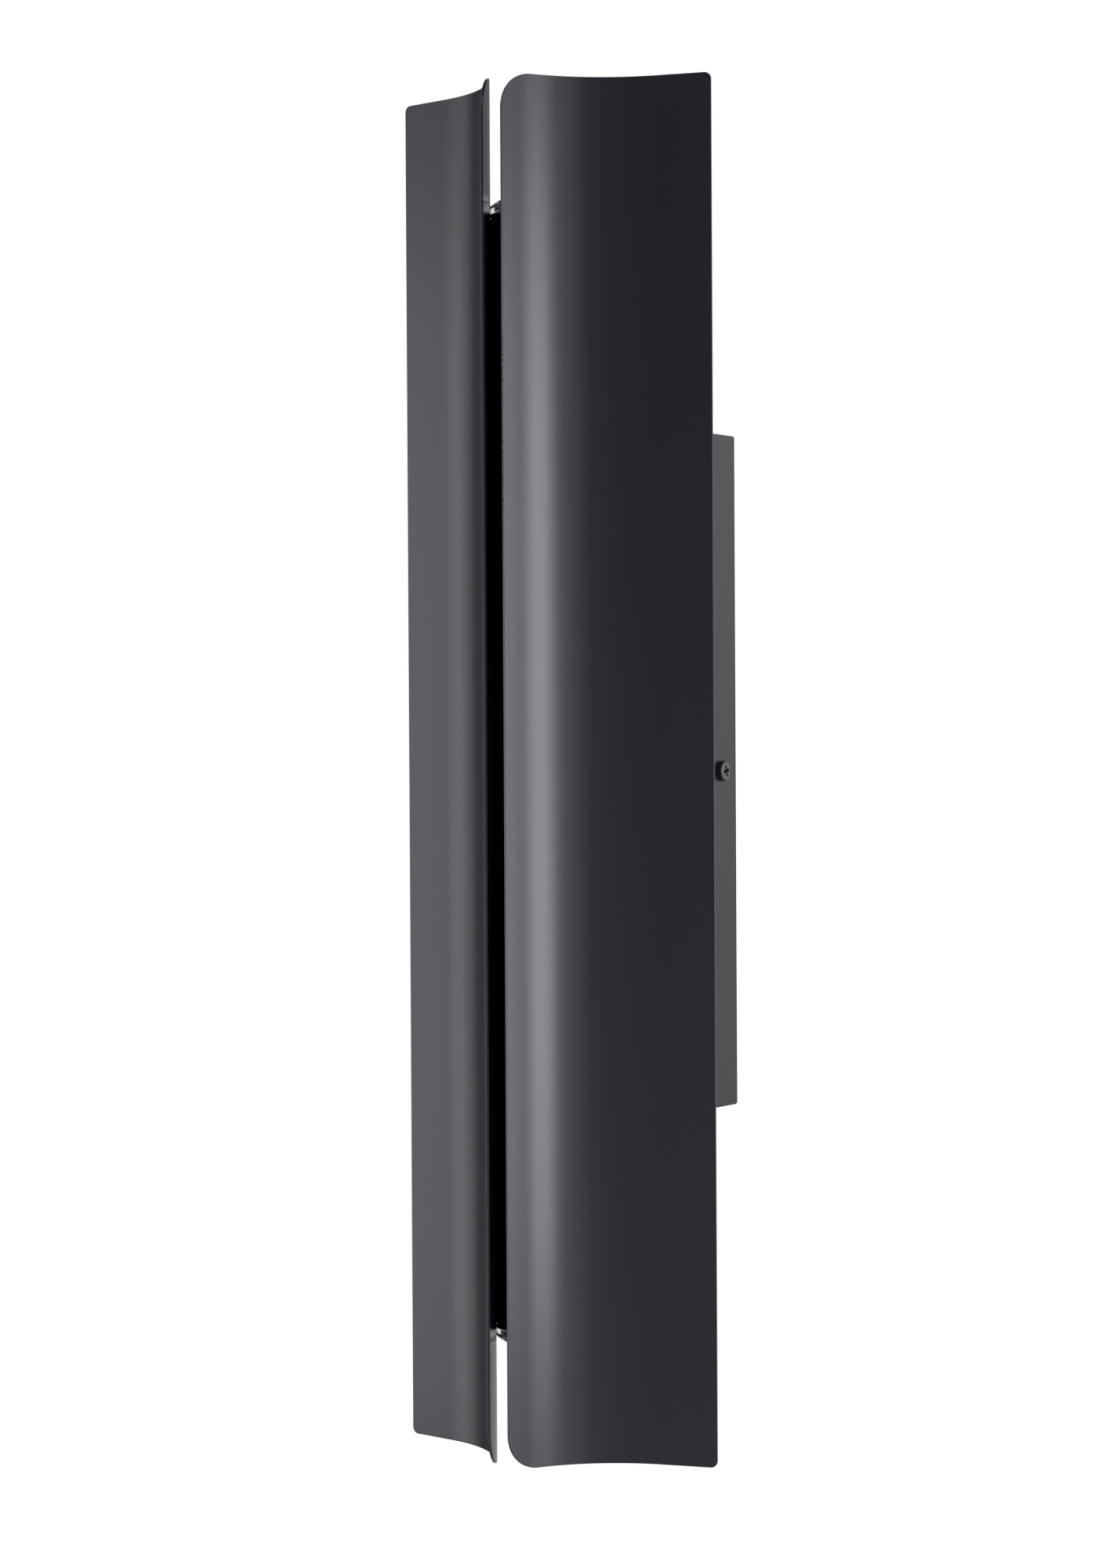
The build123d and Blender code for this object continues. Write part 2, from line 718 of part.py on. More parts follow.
# Reflectors: bright cups from the emitter up to the lens
throat = reflector_throat / 2
mouth = insert_radius - reflector_lip
with BuildPart() as reflector:
    with BuildSketch(column_profile):
        with BuildLine():
            Polyline(
                (throat, board_top),
                (mouth, lens_foot),
                (insert_radius, lens_foot),
                (insert_radius, lens_foot - reflector_wall),
                (mouth + reflector_wall, lens_foot - reflector_wall),
                (throat + reflector_wall, board_top),
                close=True,
            )
        make_face()
    revolve(axis=column_axis)
save_pair(reflector, "reflector")

# Lens gaskets
with BuildPart() as lens_gasket:
    with BuildSketch(column_plane.offset(column_end)):
        Circle(column_radius - bore_gap)
        Circle(column_radius - lens_gasket_width, mode=Mode.SUBTRACT)
    extrude(amount=lens_gasket_thickness)
save_pair(lens_gasket, "lens_gasket")

# Lenses: hollow caps with a spigot in the bore, a bare rim as wide as the column and a dome on top
dome_foot = lens_seat + lens_rim
dome_radius = (column_radius**2 + lens_dome**2) / (2 * lens_dome)
lens_bore = insert_radius - lens_wall
hollow_rise = lens_dome - lens_wall
hollow_radius = (lens_bore**2 + hollow_rise**2) / (2 * hollow_rise)
with BuildPart() as lens:
    with BuildSketch(column_profile):
        with BuildLine():
            Polyline(
                (lens_bore, dome_foot),
                (lens_bore, lens_foot),
                (insert_radius, lens_foot),
                (insert_radius, lens_seat),
                (column_radius, lens_seat),
                (column_radius, dome_foot),
            )
            RadiusArc((column_radius, dome_foot), (0, dome_foot + lens_dome), -dome_radius)
            Line((0, dome_foot + lens_dome), (0, dome_foot + hollow_rise))
            RadiusArc((lens_bore, dome_foot), (0, dome_foot + hollow_rise), -hollow_radius)
        make_face()
    revolve(axis=column_axis)
save_pair(lens, "lens")
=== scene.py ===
"""Looks of the outdoor wall sconce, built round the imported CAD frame. All lengths are in metres."""

import math

import bmesh
import bpy
from bpy.props import FloatProperty, FloatVectorProperty, PointerProperty
from mathutils import Matrix, Vector


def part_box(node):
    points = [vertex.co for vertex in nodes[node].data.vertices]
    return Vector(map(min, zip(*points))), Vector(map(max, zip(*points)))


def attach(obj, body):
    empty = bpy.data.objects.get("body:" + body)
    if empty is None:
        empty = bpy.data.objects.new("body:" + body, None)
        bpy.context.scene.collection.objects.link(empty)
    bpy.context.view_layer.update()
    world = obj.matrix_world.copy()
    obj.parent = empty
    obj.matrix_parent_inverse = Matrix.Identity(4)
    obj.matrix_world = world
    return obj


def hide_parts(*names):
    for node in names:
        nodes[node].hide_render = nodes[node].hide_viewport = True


bl_info = {
    "name": "Outdoor wall sconce",
    "version": (1, 0, 0),
    "blender": (4, 5, 0),
    "location": "View3D > Sidebar > Sconce",
    "description": "Shades, lenses, canopy, finishes and stage of an up-and-down wall light",
    "category": "Object",
}

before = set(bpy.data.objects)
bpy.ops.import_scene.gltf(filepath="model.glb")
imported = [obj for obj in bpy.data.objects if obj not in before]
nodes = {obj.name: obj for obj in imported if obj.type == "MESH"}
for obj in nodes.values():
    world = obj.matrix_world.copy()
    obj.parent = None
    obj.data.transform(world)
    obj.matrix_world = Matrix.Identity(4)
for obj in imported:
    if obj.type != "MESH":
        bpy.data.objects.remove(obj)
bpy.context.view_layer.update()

column_low, column_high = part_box("light_column")
column_radius = (column_high.x - column_low.x) / 2
column_y = (column_high.y + column_low.y) / 2
column_centre = Vector((0, column_y, 0))

# Mesh settings: closeness of points, share of a normal, weight of flat faces, turns in radians and
# steps of the round shapes
same_place = 1e-6
facing = 0.9
flat_weight = 60
fold_turn = 0.5
rim_turn = math.radians(60)
bend_columns = 54
dome_steps = 22
lens_steps = 112
thread_steps = 28

# Threads, and the share of the pitch that they are deep
thread_depth = 0.61
canopy_stud = {"radius": 0.0015, "pitch": 0.0005, "length": 0.008}
shade_stud = {"radius": 0.002, "pitch": 0.0007, "length": 0.009}
nipple_thread = {"radius": 0.005, "pitch": 0.001, "bore": 0.0035}

# Across and up on the canopy, then inset on the shade's rear strip and heights on it
canopy_stud_spots = ((0.034, 0.1385), (0.034, 0.0335), (0.007, -0.052), (-0.007, -0.052))
shade_stud_inset = 0.0125
shade_stud_levels = (0.112, 0.088, -0.088, -0.112)

# Terminal screws: head, depth below the block's face, and place across with the slot's turn
terminal_head = {"radius": 0.0022, "height": 0.0022, "slot": 0.0007}
terminal_sink = 0.006
terminal_spots = ((-0.014, 0.3), (0.0, 1.1), (0.014, -0.5))

# Limits of what the finishes draw: wear behind the shade's front edge and by height, the depths below
# a screw head's face at which painted shade on its side and recess starts and is full black, the
# phosphor disc, and the pads of the light boards
wear_start = 0.0007
wear_full = 0.0003
wear_low = 0.08
wear_high = 0.14
screw_shade_start = 0.0002
screw_black = 0.0005
phosphor_radius = 0.00505
pad_spread = 0.0132
pad_radius = 0.0027


# Sizes and colours that a user would change


class SconceSizes(bpy.types.PropertyGroup):
    """Sizes of the pieces that are modelled here."""

    shade_sheet: FloatProperty(
        name="Shade sheet", description="Thickness of the shade's sheet", default=0.0015, unit="LENGTH"
    )
    bend_radius: FloatProperty(
        name="Bend radius",
        description="Radius of the bend on its hidden face",
        default=0.068,
        unit="LENGTH",
    )
    front_angle: FloatProperty(
        name="Front angle",
        description="Turn of the sheet from the wall at its front edge",
        default=math.radians(74.6),
        subtype="ANGLE",
    )
    back_angle: FloatProperty(
        name="Back angle",
        description="Turn of the flat rear strip from the wall",
        default=math.radians(12.5),
        subtype="ANGLE",
    )
    rear_strip: FloatProperty(
        name="Rear strip",
        description="Length of the flat strip behind the bend",
        default=0.0256,
        unit="LENGTH",
    )
    front_gap: FloatProperty(
        name="Front gap", description="Gap between the two shades", default=0.0084, unit="LENGTH"
    )
    column_gap: FloatProperty(
        name="Column gap",
        description="Paint gap between bend and column",
        default=0.0004,
        unit="LENGTH",
    )
    front_corner: FloatProperty(
        name="Front corner", description="Rounding of the front corners", default=0.016, unit="LENGTH"
    )
    back_corner: FloatProperty(
        name="Back corner", description="Rounding of the rear corners", default=0.003, unit="LENGTH"
    )
    edge_roll: FloatProperty(
        name="Rolled edge",
        description="Rounding of the blank's punched face",
        default=0.0008,
        unit="LENGTH",
    )
    edge_break: FloatProperty(
        name="Broken edge",
        description="Rounding of the blank's other face",
        default=0.00015,
        unit="LENGTH",
    )
    edge_trim: FloatProperty(
        name="Trim",
        description="Length taken off the blank at front and rear",
        default=0.0001,
        unit="LENGTH",
    )
    canopy_sheet: FloatProperty(
        name="Canopy sheet",
        description="Thickness of the canopy's sheet",
        default=0.0012,
        unit="LENGTH",
    )
    canopy_round: FloatProperty(
        name="Canopy edges", description="Rounding of the canopy's edges", default=0.0004, unit="LENGTH"
    )
    gasket_width: FloatProperty(
        name="Gasket", description="Width of the foam frame on the wall", default=0.008, unit="LENGTH"
    )
    lens_dome: FloatProperty(
        name="Lens dome", description="Rise of the lens above its rim", default=0.0068, unit="LENGTH"
    )
    lens_rim: FloatProperty(
        name="Lens rim", description="Height of the lens's bare edge", default=0.004, unit="LENGTH"
    )
    lens_spigot: FloatProperty(
        name="Lens spigot",
        description="Radius of the part inside the column",
        default=0.0184,
        unit="LENGTH",
    )
    lens_wall: FloatProperty(
        name="Lens wall", description="Thickness of the hollow lens", default=0.0022, unit="LENGTH"
    )
    lens_edge: FloatProperty(
        name="Lens edge",
        description="Polished rounding of the lens's edges",
        default=0.0003,
        unit="LENGTH",
    )


class SconceColours(bpy.types.PropertyGroup):
    """Colours of the finishes, as linear values."""

    shade_paint: FloatVectorProperty(
        name="Shade paint",
        description="Satin black powder coat of the shades",
        default=(0.0140, 0.0139, 0.0235),
        subtype="COLOR",
    )
    shade_sheen: FloatVectorProperty(
        name="Shade sheen",
        description="Tint of the shades' gloss",
        default=(0.96, 0.93, 1.0),
        subtype="COLOR",
    )
    canopy_paint: FloatVectorProperty(
        name="Canopy paint",
        description="Satin black powder coat of the canopy",
        default=(0.0125, 0.0125, 0.0130),
        subtype="COLOR",
    )
    column_paint: FloatVectorProperty(
        name="Column paint",
        description="Dead matt black of the column",
        default=(0.0022, 0.0022, 0.0024),
        subtype="COLOR",
    )
    bare_metal: FloatVectorProperty(
        name="Worn edge",
        description="Rubbed paint on the cut edges",
        default=(0.16, 0.16, 0.165),
        subtype="COLOR",
    )
    dust: FloatVectorProperty(
        name="Dust", description="Dust on the paint", default=(0.30, 0.29, 0.28), subtype="COLOR"
    )
    lens: FloatVectorProperty(
        name="Lens", description="Clear lens", default=(0.985, 0.99, 0.99), subtype="COLOR"
    )
    lens_dust: FloatVectorProperty(
        name="Lens dust", description="Dust on the lens", default=(0.75, 0.75, 0.74), subtype="COLOR"
    )
    zinc: FloatVectorProperty(
        name="Zinc",
        description="Zinc plating of the hidden hardware",
        default=(0.56, 0.57, 0.58),
        subtype="COLOR",
    )
    aluminium: FloatVectorProperty(
        name="Aluminium", description="Drawn heat sinks", default=(0.70, 0.71, 0.72), subtype="COLOR"
    )
    reflector: FloatVectorProperty(
        name="Reflector",
        description="Bright reflector cups",
        default=(0.86, 0.87, 0.88),
        subtype="COLOR",
    )
    brass: FloatVectorProperty(
        name="Brass",
        description="Brass of nipple and terminals",
        default=(0.60, 0.42, 0.17),
        subtype="COLOR",
    )
    screw: FloatVectorProperty(
        name="Screw",
        description="Grainy black of the outer screws",
        default=(0.065, 0.065, 0.065),
        subtype="COLOR",
    )
    # Black of paint chips on the shade's edge, and painted shade on the screws' sides and in their recesses
    chip_and_shade_black: FloatVectorProperty(
        name="Recess",
        description="Black of chips and recesses",
        default=(0.002, 0.002, 0.002),
        subtype="COLOR",
    )
    foam: FloatVectorProperty(
        name="Foam",
        description="Closed-cell foam of the wall gasket",
        default=(0.022, 0.022, 0.023),
        subtype="COLOR",
    )
    rubber: FloatVectorProperty(
        name="Rubber",
        description="Rubber of the lens gaskets",
        default=(0.012, 0.012, 0.012),
        subtype="COLOR",
    )
    driver: FloatVectorProperty(
        name="Driver",
        description="Moulded case of the driver",
        default=(0.66, 0.66, 0.64),
        subtype="COLOR",
    )
    terminal: FloatVectorProperty(
        name="Terminal",
        description="Moulded terminal block",
        default=(0.50, 0.49, 0.46),
        subtype="COLOR",
    )
    ground: FloatVectorProperty(
        name="Ground screw",
        description="Green dye of the earth screw",
        default=(0.03, 0.21, 0.07),
        subtype="COLOR",
    )
    board: FloatVectorProperty(
        name="Board", description="White solder mask", default=(0.78, 0.78, 0.76), subtype="COLOR"
    )
    phosphor: FloatVectorProperty(
        name="Phosphor", description="Unlit light source", default=(0.82, 0.55, 0.10), subtype="COLOR"
    )
    emitter_base: FloatVectorProperty(
        name="Emitter base",
        description="Base round the phosphor",
        default=(0.72, 0.71, 0.67),
        subtype="COLOR",
    )


class SconceStage(bpy.types.PropertyGroup):
    """Camera, lamps and floor."""

    camera_place: FloatVectorProperty(
        name="Camera",
        description="Place of the camera",
        default=(0.84598, -1.42287, 0.01675),
        subtype="TRANSLATION",
    )
    camera_yaw: FloatProperty(
        name="Yaw",
        description="Turn of the view to the left",
        default=math.radians(31.4351),
        subtype="ANGLE",
    )
    camera_pitch: FloatProperty(
        name="Pitch",
        description="Tilt of the view upwards",
        default=math.radians(-0.7905),
        subtype="ANGLE",
    )
    camera_roll: FloatProperty(
        name="Roll", description="Roll of the camera", default=math.radians(-0.3094), subtype="ANGLE"
    )
    camera_lens: FloatProperty(
        name="Lens", description="Focal length on a 36 mm long side", default=82.983, unit="CAMERA"
    )
    lamp_distance: FloatProperty(
        name="Lamp distance", description="Distance of the lamps", default=1.7, unit="LENGTH"
    )
    floor_drop: FloatProperty(
        name="Floor",
        description="Height of the light's middle over the floor",
        default=1.6,
        unit="LENGTH",
    )
    floor_tone: FloatVectorProperty(
        name="Floor tone",
        description="Pale grey of the floor",
        default=(0.86, 0.86, 0.86),
        subtype="COLOR",
    )


# Meshes


def everything(bm):
    """All the geometry of a shape."""
    return bm.verts[:] + bm.edges[:] + bm.faces[:]


def only_verts(geometry):
    """The vertices in what an operator gives back."""
    return [g for g in geometry if isinstance(g, bmesh.types.BMVert)]


def bm_rounded(bm, parts, width, segments, kind="EDGES"):
    """Round edges or corners with the same settings everywhere."""
    bmesh.ops.bevel(
        bm,
        geom=parts,
        offset=width,
        offset_type="OFFSET",
        affect=kind,
        segments=segments,
        profile=0.5,
        material=-1,
    )


def sliced(bm, place, direction, clear=False):
    """Cut the whole shape along a plane, and drop what lies past it if asked."""
    bmesh.ops.bisect_plane(
        bm, geom=everything(bm), dist=1e-7, plane_co=place, plane_no=direction, clear_outer=clear
    )


def raised(bm, faces, rise):
    """Extrude faces straight up."""
    grown = bmesh.ops.extrude_face_region(bm, geom=faces)["geom"]
    bmesh.ops.translate(bm, vec=(0, 0, rise), verts=only_verts(grown))


def rectangle(width, height):
    """Flat rectangle round the origin."""
    bm = bmesh.new()
    bmesh.ops.create_grid(bm, x_segments=1, y_segments=1, size=0.5)
    bmesh.ops.scale(bm, vec=(width, height, 1), verts=bm.verts)
    return bm


def chain(bm, points):
    """Vertices through these points, joined one after the other."""
    verts = [bm.verts.new(p) for p in points]
    for a, b in zip(verts, verts[1:]):
        bm.edges.new((a, b))
    return verts


def turned(bm, centre, steps):
    """Spin everything once round an upright axis into a closed shape."""
    bmesh.ops.spin(
        bm,
        geom=bm.verts[:] + bm.edges[:],
        cent=centre,
        axis=(0, 0, 1),
        dvec=(0, 0, 0),
        angle=math.tau,
        steps=steps,
        use_merge=True,
    )
    bmesh.ops.remove_doubles(bm, verts=bm.verts, dist=same_place)
    bmesh.ops.recalc_face_normals(bm, faces=bm.faces)


def mesh_object(bm, name, material):
    """Turn a bmesh into an object of the scene."""
    mesh = bpy.data.meshes.new(name)
    bm.to_mesh(mesh)
    bm.free()
    mesh.materials.append(material)
    made = bpy.data.objects.new(name, mesh)
    bpy.context.scene.collection.objects.link(made)
    return made


def add_piece(bm, name, finish, replaced=(), sharp=40):
    """Smooth-shaded piece on the fixed body; edges that turn by more than sharp degrees stay sharp."""
    for face in bm.faces:
        face.smooth = True
    piece = mesh_object(bm, name, bpy.data.materials[finish])
    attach(piece, "root")
    if replaced:
        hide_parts(*replaced)
    piece.data.set_sharp_from_angle(angle=math.radians(sharp))
    modifier = piece.modifiers.new("weighted_normals", "WEIGHTED_NORMAL")
    modifier.keep_sharp = True
    modifier.weight = flat_weight


def shade_blank(sizes, height, length, side):
    """Flat blank of one shade, front edge at x = 0; its punched face turns out on the left shade only."""
    bm = rectangle(length, height)
    bmesh.ops.translate(bm, vec=(length / 2, 0, 0), verts=bm.verts)
    fronts = [v for v in bm.verts if v.co.x < length / 2]
    bm_rounded(bm, fronts, sizes.front_corner, segments=16, kind="VERTICES")
    rears = [v for v in bm.verts if v.co.x > length - same_place]
    bm_rounded(bm, rears, sizes.back_corner, segments=6, kind="VERTICES")
    raised(bm, bm.faces[:], sizes.shade_sheet)
    bmesh.ops.recalc_face_normals(bm, faces=bm.faces)
    outer, inner = sizes.edge_break, sizes.edge_roll
    if side < 0:
        outer, inner = inner, outer
    for level, width in ((sizes.shade_sheet, outer), (0, inner)):
        flat = [e for e in bm.edges if all(abs(v.co.z - level) < same_place for v in e.verts)]
        rim = [e for e in flat if e.calc_face_angle() > rim_turn]
        bm_rounded(bm, rim, width, segments=5)
    return bm


def sheet_point(sizes, turn, lift, straight):
    """Place on the right shade from above: turn of the bend, lift off its hidden face, way past the bend."""
    radius = sizes.bend_radius
    centre_x = sizes.front_gap / 2 + radius * math.sin(sizes.front_angle)
    reach = radius + column_radius + sizes.column_gap
    centre_y = column_y - math.sqrt(reach**2 - centre_x**2)
    x = centre_x - (radius - lift) * math.sin(turn) + straight * math.cos(turn)
    y = centre_y + (radius - lift) * math.cos(turn) + straight * math.sin(turn)
    return x, y


def bent_shade(sizes, side):
    """Cut the blank into narrow columns and bend it round its axis."""
    low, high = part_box("shade_right")
    bend_length = sizes.bend_radius * (sizes.front_angle - sizes.back_angle)
    trim = sizes.edge_trim
    bm = shade_blank(sizes, high.z - low.z, bend_length + sizes.rear_strip - 2 * trim, side)
    for step in range(1, bend_columns + 1):
        sliced(bm, (bend_length * step / bend_columns - trim, 0, 0), (1, 0, 0))
    for vert in bm.verts:
        along, level, lift = vert.co
        along += trim
        turn = sizes.front_angle - min(along, bend_length) / sizes.bend_radius
        x, y = sheet_point(sizes, turn, lift, max(along - bend_length, 0))
        vert.co = (side * x, y, level)
    if side < 0:
        bmesh.ops.reverse_faces(bm, faces=bm.faces)
    return bm


def node_block(name):
    """Block that fills a CAD node's box."""
    low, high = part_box(name)
    bm = bmesh.new()
    bmesh.ops.create_cube(bm, size=1)
    bmesh.ops.scale(bm, vec=high - low, verts=bm.verts)
    bmesh.ops.translate(bm, vec=(high + low) / 2, verts=bm.verts)
    return bm


def foam_frame(sizes):
    """Foam frame with square corners, between the canopy's rim and the wall."""
    bm = node_block("wall_gasket")
    sides = [f for f in bm.faces if abs(f.normal.y) > facing]
    bmesh.ops.inset_individual(bm, faces=sides, thickness=sizes.gasket_width, use_even_offset=True)
    bmesh.ops.delete(bm, geom=sides, context="FACES_ONLY")
    bmesh.ops.bridge_loops(bm, edges=[e for e in bm.edges if e.is_boundary])
    bmesh.ops.recalc_face_normals(bm, faces=bm.faces)
    return bm


def canopy_shell(sizes):
    """Folded box, open to the wall: first its sheet thickness, then its outer edges just broken."""
    bm = node_block("canopy")
    rim_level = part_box("canopy")[1].y
    back = [f for f in bm.faces if f.normal.y > facing]
    bmesh.ops.delete(bm, geom=back, context="FACES_ONLY")
    bmesh.ops.recalc_face_normals(bm, faces=bm.faces)
    bmesh.ops.solidify(bm, geom=bm.faces[:], thickness=sizes.canopy_sheet)
    folds = [e for e in bm.edges if min(v.co.y for v in e.verts) < rim_level - same_place]
    outer = [e for e in folds if e.calc_face_angle_signed() > fold_turn]
    bm_rounded(bm, outer, sizes.canopy_round, segments=4)
    return bm


def turned_lens(sizes, end):
    """Hollow lens with a spigot, a bare rim and a dome; end is 1 at the top and -1 at the bottom."""
    low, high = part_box("upper_lens")
    bm = bmesh.new()
    rim_top = high.z - sizes.lens_dome
    seat = rim_top - sizes.lens_rim
    hollow = sizes.lens_spigot - sizes.lens_wall
    profile = (
        (hollow, rim_top),
        (hollow, low.z),
        (sizes.lens_spigot, low.z),
        (sizes.lens_spigot, seat),
        (column_radius, seat),
        (column_radius, rim_top),
    )
    outline = chain(bm, [(x, column_y, z) for x, z in profile])
    for start, radius, rise in (
        (outline[-1], column_radius, sizes.lens_dome),
        (outline[0], hollow, sizes.lens_dome - sizes.lens_wall),
    ):
        dome = (radius**2 + rise**2) / (2 * rise)
        bmesh.ops.spin(
            bm,
            geom=[start],
            cent=(0, column_y, rim_top + rise - dome),
            axis=(0, 1, 0),
            dvec=(0, 0, 0),
            angle=-math.asin(radius / dome),
            steps=dome_steps,
        )
    turned(bm, (0, column_y, 0), lens_steps)
    edges = [e for e in bm.edges if e.is_manifold and e.calc_face_angle() > fold_turn]
    bm_rounded(bm, edges, sizes.lens_edge, segments=2)
    if end < 0:
        bmesh.ops.scale(bm, vec=(1, 1, -1), verts=bm.verts)
    bmesh.ops.recalc_face_normals(bm, faces=bm.faces)
    return bm


def threaded_rod(radius, pitch, length, bore=0.0):
    """Rod along z from 0 to length with a helical thread, cut flat at both ends, hollow if bore is set."""
    bm = bmesh.new()
    root = radius - thread_depth * pitch
    # Share of the pitch and radius of each point of a tooth, and spare turns that the cuts take off
    tooth = ((0.0, root), (0.4, radius), (0.52, radius), (0.92, root))
    spare = 2
    count = int(length / pitch) + 2 * spare
    points = [(r, 0, (turn - spare + share) * pitch) for turn in range(count) for share, r in tooth]
    points.append((root, 0, (count - spare) * pitch))
    chain(bm, points)
    bmesh.ops.spin(
        bm,
        geom=bm.verts[:] + bm.edges[:],
        cent=(0, 0, 0),
        axis=(0, 0, 1),
        dvec=(0, 0, pitch / thread_steps),
        angle=math.tau,
        steps=thread_steps,
    )
    bmesh.ops.remove_doubles(bm, verts=bm.verts, dist=same_place)
    if bore:
        inner = bmesh.ops.create_cone(
            bm, cap_ends=False, segments=thread_steps, radius1=bore, radius2=bore, depth=length * 3
        )["verts"]
        bmesh.ops.translate(bm, vec=(0, 0, length / 2), verts=inner)
    for level, up in ((0, -1), (length, 1)):
        sliced(bm, (0, 0, level), (0, 0, up), clear=True)
        open_edges = [e for e in bm.edges if e.is_boundary]
        ends = [e for e in open_edges if all(abs(v.co.z - level) < same_place for v in e.verts)]
        bmesh.ops.triangle_fill(bm, use_beauty=True, edges=ends, normal=(0, 0, up))
    bmesh.ops.recalc_face_normals(bm, faces=bm.faces)
    return bm


def copies(bm, places):
    """Put a copy of the shape at each of these places, and drop the first one."""
    first = everything(bm)
    for place in places:
        copied = bmesh.ops.duplicate(bm, geom=first)["geom"]
        bmesh.ops.transform(bm, matrix=place, verts=only_verts(copied))
    bmesh.ops.delete(bm, geom=first, context="VERTS")
    return bm


def looking(place, direction):
    """Matrix that puts a shape's z axis along a direction at a place."""
    turn = Vector(direction).to_track_quat("Z", "Y").to_matrix().to_4x4()
    return Matrix.Translation(place) @ turn


def slotted_head(radius, height, slot):
    """Flat screw head with a driver slot, standing on z = 0."""
    bm = bmesh.new()
    slot_floor = height * 0.45
    soft_edge = height * 0.08
    bmesh.ops.create_circle(bm, cap_ends=True, segments=40, radius=radius)
    bmesh.ops.translate(bm, vec=(0, 0, slot_floor), verts=bm.verts)
    for side in (1, -1):
        sliced(bm, (0, side * slot / 2, 0), (0, 1, 0))
    lobes = [f for f in bm.faces if abs(f.calc_center_median().y) > slot / 2]
    raised(bm, bm.faces[:], -slot_floor)
    raised(bm, lobes, height - slot_floor)
    bmesh.ops.delete(bm, geom=lobes, context="FACES")
    bmesh.ops.recalc_face_normals(bm, faces=bm.faces)
    rim = [e for e in bm.edges if all(v.co.z > height - same_place for v in e.verts)]
    bm_rounded(bm, rim, soft_edge, segments=2)
    return bm


# Shader building


def add_node(tree, kind, inputs=None, **settings):
    """Add a node with its settings; an input is a value or a socket to link."""
    made = tree.nodes.new(kind)
    for name, value in settings.items():
        setattr(made, name, value)
    for key, value in (inputs or {}).items():
        if isinstance(value, bpy.types.NodeSocket):
            tree.links.new(value, made.inputs[key])
        else:
            made.inputs[key].default_value = value
    return made


def math_node(tree, operation, first, second=0.0):
    """Output of a Math node."""
    return add_node(tree, "ShaderNodeMath", {0: first, 1: second}, operation=operation).outputs[0]


def plus(tree, first, second):
    """Sum of two values."""
    return math_node(tree, "ADD", first, second)


def less(tree, first, second):
    """Difference of two values."""
    return math_node(tree, "SUBTRACT", first, second)


def times(tree, first, second):
    """Product of two values."""
    return math_node(tree, "MULTIPLY", first, second)


def ranged(tree, value, low, high, to_low=0.0, to_high=1.0, smooth=False):
    """A value mapped from one range to another and held there."""
    made = add_node(
        tree,
        "ShaderNodeMapRange",
        {"Value": value, "From Min": low, "From Max": high, "To Min": to_low, "To Max": to_high},
        interpolation_type="SMOOTHSTEP" if smooth else "LINEAR",
    )
    return made.outputs["Result"]


def tinted(tree, factor, first, second):
    """Mix of two colours."""
    made = add_node(tree, "ShaderNodeMix", {0: factor}, data_type="RGBA")
    for key, value in ((6, first), (7, second)):
        if isinstance(value, bpy.types.NodeSocket):
            tree.links.new(value, made.inputs[key])
        else:
            made.inputs[key].default_value = (*value, 1)
    return made.outputs[2]


def noise(tree, vector, scale, detail=2.0, rough=0.5):
    """Factor of a noise texture."""
    made = add_node(
        tree,
        "ShaderNodeTexNoise",
        {"Vector": vector, "Scale": scale, "Detail": detail, "Roughness": rough},
    )
    return made.outputs[0]


def axes_of(tree, vector):
    """The X, Y and Z of a vector, by name."""
    return add_node(tree, "ShaderNodeSeparateXYZ", {0: vector}).outputs


def from_axis(tree, place):
    """A place measured from the column's axis."""
    offset = (0, -column_y, 0)
    return add_node(tree, "ShaderNodeVectorMath", {0: place, 1: offset}, operation="ADD").outputs[0]


def flat_length(tree, vector):
    """Length of a vector, seen from above."""
    flat = add_node(tree, "ShaderNodeVectorMath", {0: vector, 1: (1, 1, 0)}, operation="MULTIPLY")
    return add_node(tree, "ShaderNodeVectorMath", {0: flat.outputs[0]}, operation="LENGTH").outputs["Value"]


def new_group(name, inputs, outputs):
    """Shader node group with named sockets; gives its tree, its inputs and its outputs."""
    tree = bpy.data.node_groups.new(name, "ShaderNodeTree")
    kinds = {"vector": "NodeSocketVector", "colour": "NodeSocketColor", "value": "NodeSocketFloat"}
    for sockets, way in ((inputs, "INPUT"), (outputs, "OUTPUT")):
        for title, kind in sockets.items():
            tree.interface.new_socket(title, in_out=way, socket_type=kinds[kind])
    return tree, tree.nodes.new("NodeGroupInput").outputs, tree.nodes.new("NodeGroupOutput").inputs


def new_skin_group(name, colour, *values):
    """Group that turns a colour and values into the colour, roughness and height of a surface."""
    inputs = {"Vector": "vector", colour: "colour"}
    inputs.update((title, "value") for title in values)
    return new_group(name, inputs, {"Color": "colour", "Roughness": "value", "Height": "value"})


def put_out(tree, result, colour, gain, rough, height):
    """Scale a colour, and link it with a roughness and a height to a skin group's outputs."""
    shade = add_node(tree, "ShaderNodeVectorMath", {0: colour, "Scale": gain}, operation="SCALE")
    for title, socket in (("Color", shade.outputs[0]), ("Roughness", rough), ("Height", height)):
        tree.links.new(socket, result[title])


def powder_coat_group():
    """Satin powder coat: slow drift of tone and gloss, orange peel and fine grain."""
    tree, source, result = new_skin_group("powder_coat", "Paint", "Gloss", "Drift")
    vector = source["Vector"]
    slow = noise(tree, vector, scale=9.0, detail=3.0)
    cloud = noise(tree, vector, scale=70.0)
    peel = noise(tree, vector, scale=620.0, detail=1.0)
    grain = noise(tree, vector, scale=2600.0, rough=0.6)
    tone = plus(tree, times(tree, slow, 0.6), times(tree, cloud, 0.4))
    drift = times(tree, less(tree, tone, 0.5), source["Drift"])
    rough = plus(tree, source["Gloss"], times(tree, drift, 0.12))
    height = plus(tree, peel, times(tree, grain, 0.35))
    put_out(tree, result, source["Paint"], plus(tree, drift, 1.0), rough, height)


